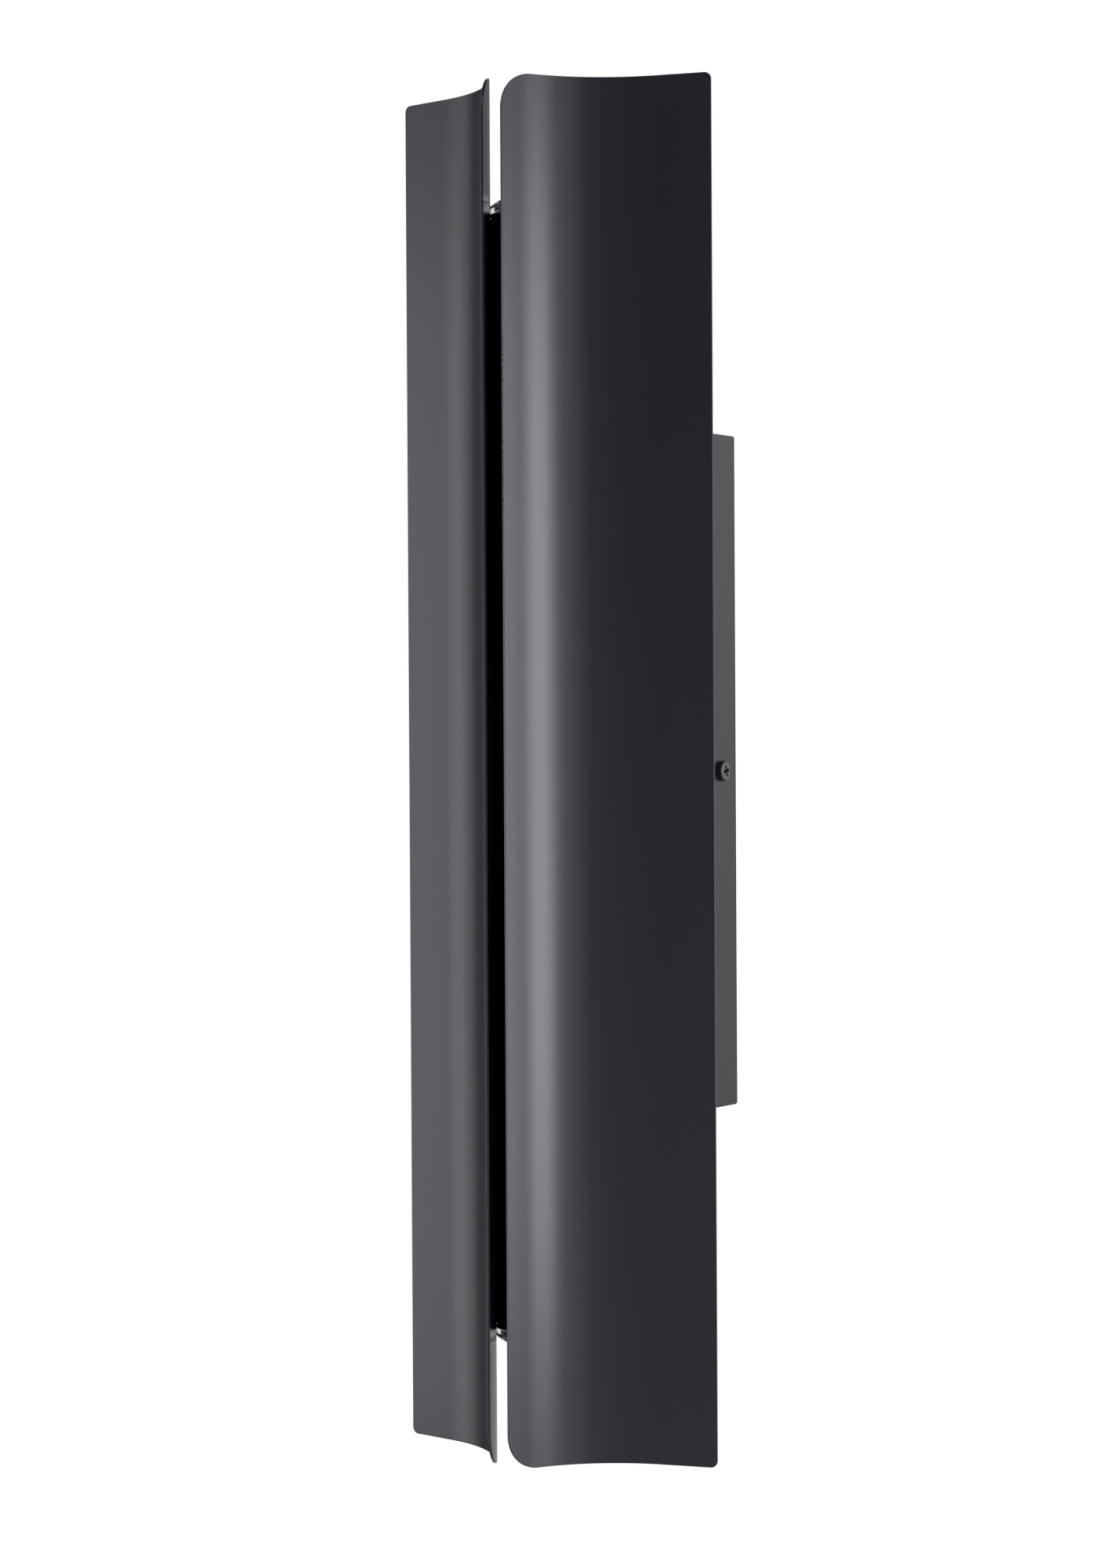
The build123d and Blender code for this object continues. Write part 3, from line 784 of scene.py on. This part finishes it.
def speck_group():
    """Sparse specks: a mask of small spots, one in a few of the cells of the given density."""
    inputs = {"Vector": "vector", "Density": "value", "Share": "value", "Size": "value"}
    tree, source, result = new_group("specks", inputs, {"Mask": "value"})
    place = {"Vector": source["Vector"], "Scale": source["Density"]}
    cells = add_node(tree, "ShaderNodeTexVoronoi", place).outputs
    pick = add_node(tree, "ShaderNodeSeparateColor", {0: cells["Color"]}).outputs
    chosen = math_node(tree, "LESS_THAN", pick[0], source["Share"])
    size = times(tree, source["Size"], pick[1])
    spot = math_node(tree, "LESS_THAN", cells["Distance"], size)
    tree.links.new(times(tree, chosen, spot), result["Mask"])


def metal_group():
    """Plated or turned metal: clouded tone, fine scratches and a soft grain."""
    tree, source, result = new_skin_group("metal_grain", "Metal", "Gloss", "Wear")
    vector = source["Vector"]
    cloud = noise(tree, vector, scale=160.0, detail=4.0, rough=0.6)
    grain = noise(tree, vector, scale=2200.0)
    place = {"Vector": vector, "Scale": 900.0}
    marks = add_node(tree, "ShaderNodeTexVoronoi", place, feature="DISTANCE_TO_EDGE").outputs
    scratch = ranged(tree, marks["Distance"], 0.0, 0.06, 1.0, 0.0)
    drift = times(tree, less(tree, cloud, 0.5), source["Wear"])
    rough = plus(tree, source["Gloss"], times(tree, drift, -0.25))
    height = plus(tree, grain, times(tree, scratch, 0.4))
    put_out(tree, result, source["Metal"], plus(tree, drift, 1.0), rough, height)


def moulded_group():
    """Moulded plastic, rubber or foam: eroded grain, flow marks and cells of the given density."""
    tree, source, result = new_skin_group("moulded", "Plastic", "Gloss", "Cells", "Depth")
    vector = source["Vector"]
    cells = add_node(tree, "ShaderNodeTexVoronoi", {"Vector": vector, "Scale": source["Cells"]}).outputs
    flow = noise(tree, vector, scale=45.0, detail=3.0)
    pit = ranged(tree, cells["Distance"], 0.15, 0.7)
    dark = times(tree, less(tree, 1.0, pit), source["Depth"])
    tone = plus(tree, times(tree, flow, 0.16), 0.92)
    gain = less(tree, tone, times(tree, dark, 0.35))
    rough = plus(tree, source["Gloss"], times(tree, flow, 0.1))
    put_out(tree, result, source["Plastic"], gain, rough, pit)


def blank_tree(owner, kind):
    """Empty node tree of a material or a world, and the socket of its output."""
    owner.use_nodes = True
    tree = owner.node_tree
    tree.nodes.clear()
    return tree, tree.nodes.new(kind).inputs[0]


def start_material(name, **constants):
    """Material with a Principled shader; gives material, tree, shader and Object coordinates."""
    material = bpy.data.materials.new(name)
    tree, surface = blank_tree(material, "ShaderNodeOutputMaterial")
    shader = tree.nodes.new("ShaderNodeBsdfPrincipled")
    tree.links.new(shader.outputs[0], surface)
    for title, value in constants.items():
        shader.inputs[title.replace("_", " ")].default_value = value
    place = tree.nodes.new("ShaderNodeTexCoord").outputs["Object"]
    return material, tree, shader, place


def surfaced(tree, shader, colour, rough, height, strength, depth):
    """Feed a colour, a roughness and a bump to the shader."""
    tree.links.new(colour, shader.inputs["Base Color"])
    tree.links.new(rough, shader.inputs["Roughness"])
    bump = add_node(tree, "ShaderNodeBump", {"Height": height, "Strength": strength, "Distance": depth})
    tree.links.new(bump.outputs[0], shader.inputs["Normal"])


def grouped(tree, name, inputs):
    """Place a node group in a material and give its outputs."""
    return add_node(tree, "ShaderNodeGroup", inputs, node_tree=bpy.data.node_groups[name]).outputs


def moulded_skin(tree, place, colour, gloss, cells, depth):
    """Outputs of the group for moulded plastic."""
    inputs = {"Vector": place, "Plastic": (*colour, 1), "Gloss": gloss, "Cells": cells, "Depth": depth}
    return grouped(tree, "moulded", inputs)


def worn_edge(tree, place, front):
    """Masks of rubbed and of chipped paint on the right shade's front edge, in its upper half."""
    axes = axes_of(tree, place)
    edge = ranged(tree, axes["Y"], front + wear_start, front + wear_full)
    right = math_node(tree, "GREATER_THAN", axes["X"], 0.0)
    upper = ranged(tree, axes["Z"], wear_low, wear_high)
    patch = ranged(tree, noise(tree, place, scale=24.0), 0.42, 0.56)
    for mask in (right, upper, patch):
        edge = times(tree, edge, mask)
    rub = ranged(tree, noise(tree, place, scale=700.0, detail=3.0, rough=0.65), 0.60, 0.68)
    chip = ranged(tree, noise(tree, place, scale=900.0, detail=1.0), 0.56, 0.62)
    return times(tree, edge, rub), times(tree, edge, chip)


def powder_coat(name, paint, gloss, dusty, drift=0.25, specular=0.5, sheen=(1, 1, 1), worn_front=None):
    """Powder-coated sheet with dust, and with a worn edge where the y of that edge is given."""
    colours = bpy.context.scene.sconce_colours
    constants = {"IOR": 1.52, "Specular_IOR_Level": specular, "Specular_Tint": (*sheen, 1)}
    material, tree, shader, place = start_material(name, **constants)
    inputs = {"Vector": place, "Paint": (*paint, 1), "Gloss": gloss, "Drift": drift}
    coat = grouped(tree, "powder_coat", inputs)
    dust = grouped(tree, "specks", {"Vector": place, "Density": 95.0, "Share": dusty, "Size": 0.035})
    colour = tinted(tree, dust["Mask"], coat["Color"], colours.dust)
    rough = coat["Roughness"]
    height = coat["Height"]
    if worn_front is not None:
        rubbed, chipped = worn_edge(tree, place, worn_front)
        colour = tinted(tree, rubbed, colour, colours.bare_metal)
        colour = tinted(tree, chipped, colour, colours.chip_and_shade_black)
        rough = plus(tree, rough, times(tree, chipped, 0.4))
        height = less(tree, height, times(tree, chipped, 2.5))
    surfaced(tree, shader, colour, rough, height, strength=0.22, depth=0.00003)
    return material


def metal(name, colour, gloss, wear=0.35, depth=0.00001):
    """Bare or plated metal."""
    material, tree, shader, place = start_material(name, Metallic=1.0)
    inputs = {"Vector": place, "Metal": (*colour, 1), "Gloss": gloss, "Wear": wear}
    skin = grouped(tree, "metal_grain", inputs)
    surfaced(tree, shader, skin["Color"], skin["Roughness"], skin["Height"], strength=0.25, depth=depth)
    return material


def plastic(name, colour, gloss, cells, depth, bump=0.3):
    """Moulded plastic, rubber or foam."""
    material, tree, shader, place = start_material(name, IOR=1.49)
    skin = moulded_skin(tree, place, colour, gloss, cells, depth)
    surfaced(tree, shader, skin["Color"], skin["Roughness"], skin["Height"], strength=bump, depth=0.00005)
    return material


def grainy_screw(name, face):
    """Grainy black screw with painted shade: its side and driver recess, below the head's face, are painted
    near-black.
    """
    colours = bpy.context.scene.sconce_colours
    material, tree, shader, place = start_material(name, IOR=1.49)
    skin = moulded_skin(tree, place, colours.screw, gloss=0.4, cells=2600.0, depth=0.9)
    # Painted shade: what lies below the head's face, the head's side and its driver recess, turns near-black
    across = math_node(tree, "ABSOLUTE", axes_of(tree, place)["X"])
    black = ranged(tree, across, face - screw_shade_start, face - screw_black)
    colour = tinted(tree, black, skin["Color"], colours.chip_and_shade_black)
    rough = plus(tree, skin["Roughness"], times(tree, black, 0.4))
    surfaced(tree, shader, colour, rough, skin["Height"], strength=0.5, depth=0.00005)
    return material


def clear_glass(name):
    """Clear lens with a faint haze and a few dust specks."""
    colours = bpy.context.scene.sconce_colours
    material, tree, shader, place = start_material(name, IOR=1.49, Transmission_Weight=1.0)
    haze = ranged(tree, noise(tree, place, scale=120.0, detail=3.0), 0.45, 0.75, 0.012, 0.04)
    dust = grouped(tree, "specks", {"Vector": place, "Density": 260.0, "Share": 0.05, "Size": 0.1})
    colour = tinted(tree, dust["Mask"], colours.lens, colours.lens_dust)
    tree.links.new(colour, shader.inputs["Base Color"])
    tree.links.new(haze, shader.inputs["Roughness"])
    return material


def light_source(name):
    """Unlit phosphor disc on a pale base: dots of the chips show through."""
    colours = bpy.context.scene.sconce_colours
    material, tree, shader, place = start_material(name, IOR=1.45)
    spot = add_node(tree, "ShaderNodeTexVoronoi", {"Vector": place, "Scale": 700.0})
    dots = ranged(tree, spot.outputs["Distance"], 0.12, 0.5)
    speckle = noise(tree, place, scale=1800.0)
    deep = tuple(c * 0.8 for c in colours.phosphor)
    pale = tuple(min(c * 1.12, 1.0) for c in colours.phosphor)
    warm = tinted(tree, dots, deep, pale)
    base = math_node(tree, "GREATER_THAN", flat_length(tree, from_axis(tree, place)), phosphor_radius)
    colour = tinted(tree, base, warm, colours.emitter_base)
    rough = ranged(tree, speckle, 0.3, 0.7, 0.35, 0.55)
    surfaced(tree, shader, colour, rough, speckle, strength=0.2, depth=0.00003)
    return material


def light_board(name):
    """White solder mask with bare pads round the screws."""
    colours = bpy.context.scene.sconce_colours
    material, tree, shader, place = start_material(name, IOR=1.5)
    skin = moulded_skin(tree, place, colours.board, gloss=0.32, cells=1500.0, depth=0.1)
    axes = axes_of(tree, from_axis(tree, place))
    across = less(tree, math_node(tree, "ABSOLUTE", axes["X"]), pad_spread)
    square = plus(tree, times(tree, across, across), times(tree, axes["Y"], axes["Y"]))
    pad = math_node(tree, "LESS_THAN", math_node(tree, "SQRT", square), pad_radius)
    colour = tinted(tree, pad, skin["Color"], colours.zinc)
    surfaced(tree, shader, colour, skin["Roughness"], skin["Height"], strength=0.1, depth=0.00003)
    return material


def dress(material, *names):
    """Give CAD nodes a finish."""
    for name in names:
        for slot in nodes[name].material_slots:
            slot.material = material


def both_ends(word):
    """Names of the upper and the lower node of a kind."""
    return f"upper_{word}", f"lower_{word}"


# Stage


def place_camera(scene, stage):
    """Camera at the photograph's place."""
    camera = bpy.data.objects.new("camera", bpy.data.cameras.new("camera"))
    scene.collection.objects.link(camera)
    yaw, pitch, roll = stage.camera_yaw, stage.camera_pitch, stage.camera_roll
    level = math.cos(pitch)
    ahead = Vector((-math.sin(yaw) * level, math.cos(yaw) * level, math.sin(pitch)))
    right = Vector((math.cos(yaw), math.sin(yaw), 0))
    up = right.cross(ahead)
    rolled_right = right * math.cos(roll) + up * math.sin(roll)
    rolled_up = up * math.cos(roll) - right * math.sin(roll)
    turn = Matrix((rolled_right, rolled_up, -ahead)).transposed()
    camera.matrix_world = Matrix.Translation(stage.camera_place) @ turn.to_4x4()
    camera.data.sensor_width = 36
    camera.data.lens = stage.camera_lens
    scene.camera = camera


def round_place(azimuth, distance, level):
    """Point round the light; azimuth 0 is in front of it and 90 on its right."""
    turn = math.radians(azimuth)
    return Vector((distance * math.sin(turn), column_y - distance * math.cos(turn), level))


def softbox(scene, name, azimuth, distance, width, height, brightness, level):
    """Tall rectangular lamp that faces the light, with a given brightness of its face."""
    lamp = bpy.data.lights.new(name, "AREA")
    lamp.shape = "RECTANGLE"
    lamp.size = width
    lamp.size_y = height
    lamp.energy = brightness * math.pi * width * height
    made = bpy.data.objects.new(name, lamp)
    made.location = round_place(azimuth, distance, level)
    made.rotation_euler = (column_centre - made.location).to_track_quat("-Z", "Y").to_euler()
    scene.collection.objects.link(made)


def tone_card(name, azimuth, distance, width, height, low_tone, high_tone, level):
    """Card that the camera doesn't see and that casts no shadow, with a tone for each end."""
    bm = rectangle(width, height)
    place = round_place(azimuth, distance, level)
    bmesh.ops.transform(bm, matrix=looking(place, column_centre - place), verts=bm.verts)
    material = bpy.data.materials.new(name)
    tree, surface = blank_tree(material, "ShaderNodeOutputMaterial")
    upward = axes_of(tree, tree.nodes.new("ShaderNodeTexCoord").outputs["Object"])["Z"]
    tone = ranged(tree, upward, -height / 2, height / 2, low_tone, high_tone)
    glow = add_node(tree, "ShaderNodeEmission", {"Color": tone, "Strength": 1.0})
    tree.links.new(glow.outputs[0], surface)
    card = mesh_object(bm, name, material)
    card.visible_camera = False
    card.visible_shadow = False
    card.visible_transmission = False


def place_lamps(scene, stage):
    """Strip and panel on the right, panel on the left, cards in front, behind and above."""
    far = stage.lamp_distance
    # Name, azimuth, distance, width, height, brightness and level of each lamp
    softbox(scene, "right_strip", 84.6, far, 0.56, 1.05, 7.2, 0.0)
    softbox(scene, "right_panel", 116, far, 0.85, 1.06, 2.9, -0.01)
    softbox(scene, "left_panel", -67, far, 0.68, 1.14, 1.50, -0.08)
    # Name, azimuth, distance, width, height, lower tone, upper tone and level of each card
    tone_card("front_card", 4, far + 0.4, 4.8, 2.4, 0.60, 0.02, 0.0)
    tone_card("back_left_card", -120, far + 0.3, 2.2, 3.0, 0.12, 0.12, 0.0)
    tone_card("back_right_card", 150, far + 0.3, 1.5, 1.8, 0.35, 1.1, 0.0)
    tone_card("back_card", 190, far + 0.3, 1.5, 2.4, 0.75, 0.15, 0.0)
    tone_card("top_card", 0, 0.01, 2.4, 2.4, 0.02, 0.02, far)


def place_floor(stage):
    """Pale floor at the height of a room's floor below a wall light, fading out towards its edge."""
    radius = 3.0
    fade_start = 1.4
    fade_end = 2.9
    bm = bmesh.new()
    bmesh.ops.create_circle(bm, cap_ends=True, segments=96, radius=radius)
    bmesh.ops.translate(bm, vec=(0, 0, -stage.floor_drop), verts=bm.verts)
    material, tree, shader, place = start_material("pale_floor", Roughness=0.9, IOR=1.3)
    shader.inputs["Base Color"].default_value = (*stage.floor_tone, 1)
    away = flat_length(tree, place)
    tree.links.new(ranged(tree, away, fade_start, fade_end, 1.0, 0.0, smooth=True), shader.inputs["Alpha"])
    floor = mesh_object(bm, "floor", material)


def place_world(scene):
    """White background for the camera, for gloss and for glass; softer light for the rest."""
    soft = 0.55
    white = 1.0
    world = bpy.data.worlds.new("studio")
    tree, surface = blank_tree(world, "ShaderNodeOutputWorld")
    path = tree.nodes.new("ShaderNodeLightPath").outputs
    seen = math_node(tree, "MAXIMUM", path["Is Camera Ray"], path["Is Glossy Ray"])
    seen = math_node(tree, "MAXIMUM", seen, path["Is Transmission Ray"])
    level = ranged(tree, seen, 0.0, 1.0, soft, white)
    back = add_node(tree, "ShaderNodeBackground", {"Color": (1, 1, 1, 1), "Strength": level})
    tree.links.new(back.outputs[0], surface)
    scene.world = world


# Operators


class SCONCE_OT_finishes(bpy.types.Operator):
    """Build the shared finishes and dress the nodes that keep their CAD shape"""

    bl_idname = "sconce.finishes"
    bl_label = "Finishes"

    def execute(self, context):
        colours = context.scene.sconce_colours
        for build in (powder_coat_group, speck_group, metal_group, moulded_group):
            build()
        shade_look = {"sheen": colours.shade_sheen, "worn_front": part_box("shade_right")[0].y}
        powder_coat("shade_coat", colours.shade_paint, gloss=0.27, dusty=0.010, **shade_look)
        powder_coat("canopy_coat", colours.canopy_paint, gloss=0.34, dusty=0.008)
        black = powder_coat("bracket_coat", colours.canopy_paint, gloss=0.42, dusty=0.012)
        column_look = {"gloss": 0.62, "dusty": 0.0, "drift": 0.15, "specular": 0.12}
        column = powder_coat("column_coat", colours.column_paint, **column_look)
        zinc = metal("zinc_plate", colours.zinc, gloss=0.34)
        brass = metal("turned_brass", colours.brass, gloss=0.26)
        green = metal("green_dye", colours.ground, gloss=0.36)
        aluminium = metal("drawn_aluminium", colours.aluminium, gloss=0.38)
        mirror = metal("bright_reflector", colours.reflector, gloss=0.10, wear=0.1, depth=0.000004)
        plastic("foam_cells", colours.foam, gloss=0.86, cells=1400.0, depth=0.9, bump=0.7)
        rubber = plastic("lens_rubber", colours.rubber, gloss=0.6, cells=2400.0, depth=0.4)
        driver = plastic("driver_plastic", colours.driver, gloss=0.42, cells=1900.0, depth=0.25)
        terminal = plastic("terminal_plastic_skin", colours.terminal, gloss=0.38, cells=1900.0, depth=0.2)
        screw = grainy_screw("screw_black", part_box("canopy_screws")[1].x)
        clear_glass("clear_lens")
        dress(black, *both_ends("shade_bracket"), *both_ends("saddle"), "centre_spacer")
        dress(column, "light_column")
        # The screw finish paints shade near-black below the canopy screws' face, which covers all of the
        # heat sink screws
        dress(screw, "canopy_screws", "heat_sink_screws")
        dress(zinc, "wall_bracket", "canopy_nuts", "column_screws", "shade_nuts", "led_board_screws")
        dress(brass, "nipple_nut")
        dress(green, "ground_screw")
        dress(driver, "led_driver")
        dress(terminal, "terminal_block", "nipple_bushing")
        dress(rubber, *both_ends("lens_gasket"))
        dress(aluminium, *both_ends("heat_sink"))
        dress(mirror, *both_ends("reflector"))
        dress(light_board("solder_mask"), *both_ends("led_board"))
        dress(light_source("phosphor_disc"), *both_ends("led_emitter"))
        return {"FINISHED"}


class SCONCE_OT_shades(bpy.types.Operator):
    """Cut, round and bend the two shades"""

    bl_idname = "sconce.shades"
    bl_label = "Shades"

    def execute(self, context):
        sizes = context.scene.sconce_sizes
        for side, word in ((1, "right"), (-1, "left")):
            sheet = bent_shade(sizes, side)
            add_piece(sheet, f"shade_sheet_{word}", "shade_coat", [f"shade_{word}"])
        return {"FINISHED"}


class SCONCE_OT_canopy(bpy.types.Operator):
    """Fold the canopy, cut its foam gasket and set the threaded studs"""

    bl_idname = "sconce.canopy"
    bl_label = "Canopy"

    def execute(self, context):
        sizes = context.scene.sconce_sizes
        add_piece(canopy_shell(sizes), "canopy_cover", "canopy_coat", ["canopy"])
        add_piece(foam_frame(sizes), "wall_gasket_foam", "foam_cells", ["wall_gasket"])
        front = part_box("canopy")[0].y + sizes.canopy_sheet
        places = [looking((x, front, z), (0, 1, 0)) for x, z in canopy_stud_spots]
        rods = copies(threaded_rod(**canopy_stud), places)
        add_piece(rods, "canopy_stud_threads", "zinc_plate")
        return {"FINISHED"}


class SCONCE_OT_lenses(bpy.types.Operator):
    """Turn the two clear lenses"""

    bl_idname = "sconce.lenses"
    bl_label = "Lenses"

    def execute(self, context):
        sizes = context.scene.sconce_sizes
        for end, word in ((1, "upper"), (-1, "lower")):
            glass = turned_lens(sizes, end)
            add_piece(glass, f"{word}_lens_glass", "clear_lens", [f"{word}_lens"], sharp=55)
        return {"FINISHED"}


class SCONCE_OT_threads(bpy.types.Operator):
    """Cut the threads of the weld studs and of the hollow nipple, and set the terminal screws"""

    bl_idname = "sconce.threads"
    bl_label = "Threads and screws"

    def execute(self, context):
        sizes = context.scene.sconce_sizes
        turn = sizes.back_angle
        x, y = sheet_point(sizes, turn, 0.0, shade_stud_inset)
        places = [
            looking((side * x, y, level), (-side * math.sin(turn), math.cos(turn), 0))
            for side in (1, -1)
            for level in shade_stud_levels
        ]
        studs = copies(threaded_rod(**shade_stud), places)
        add_piece(studs, "shade_stud_threads", "zinc_plate", ["shade_studs"])
        low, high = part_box("wire_nipple")
        place = looking((0, high.y, (low.z + high.z) / 2), (0, -1, 0))
        pipe = copies(threaded_rod(length=high.y - low.y, **nipple_thread), [place])
        add_piece(pipe, "wire_nipple_thread", "turned_brass", ["wire_nipple"])
        block_low, block_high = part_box("terminal_block")
        level = (block_low.z + block_high.z) / 2
        sunk = block_high.y - terminal_sink
        heads = [
            looking((spot, sunk, level), (0, 1, 0)) @ Matrix.Rotation(angle, 4, "Z")
            for spot, angle in terminal_spots
        ]
        screws = copies(slotted_head(**terminal_head), heads)
        add_piece(screws, "terminal_screws", "turned_brass")
        return {"FINISHED"}


class SCONCE_OT_stage(bpy.types.Operator):
    """Set up camera, lamps, floor and background"""

    bl_idname = "sconce.stage"
    bl_label = "Stage"

    def execute(self, context):
        scene = context.scene
        stage = scene.sconce_stage
        scene.view_settings.view_transform = "Standard"
        place_camera(scene, stage)
        place_lamps(scene, stage)
        place_floor(stage)
        place_world(scene)
        return {"FINISHED"}


class SCONCE_PT_panel(bpy.types.Panel):
    """Sidebar panel with the sizes, the colours and the steps"""

    bl_idname = "SCONCE_PT_panel"
    bl_label = "Wall sconce"
    bl_space_type = "VIEW_3D"
    bl_region_type = "UI"
    bl_category = "Sconce"

    def draw(self, context):
        layout = self.layout
        scene = context.scene
        for group in (scene.sconce_sizes, scene.sconce_colours, scene.sconce_stage):
            column = layout.column(align=True)
            for name in group.__annotations__:
                column.prop(group, name)
        for step in steps:
            layout.operator(step.bl_idname)


steps = (
    SCONCE_OT_finishes,
    SCONCE_OT_shades,
    SCONCE_OT_canopy,
    SCONCE_OT_lenses,
    SCONCE_OT_threads,
    SCONCE_OT_stage,
)
classes = (SconceSizes, SconceColours, SconceStage, *steps, SCONCE_PT_panel)


def register():
    for cls in classes:
        bpy.utils.register_class(cls)
    bpy.types.Scene.sconce_sizes = PointerProperty(type=SconceSizes)
    bpy.types.Scene.sconce_colours = PointerProperty(type=SconceColours)
    bpy.types.Scene.sconce_stage = PointerProperty(type=SconceStage)


def unregister():
    for name in ("sconce_sizes", "sconce_colours", "sconce_stage"):
        delattr(bpy.types.Scene, name)
    for cls in reversed(classes):
        bpy.utils.unregister_class(cls)


def main():
    register()
    bpy.ops.sconce.finishes()
    bpy.ops.sconce.shades()
    bpy.ops.sconce.canopy()
    bpy.ops.sconce.lenses()
    bpy.ops.sconce.threads()
    bpy.ops.sconce.stage()


if __name__ == "__main__":
    main()
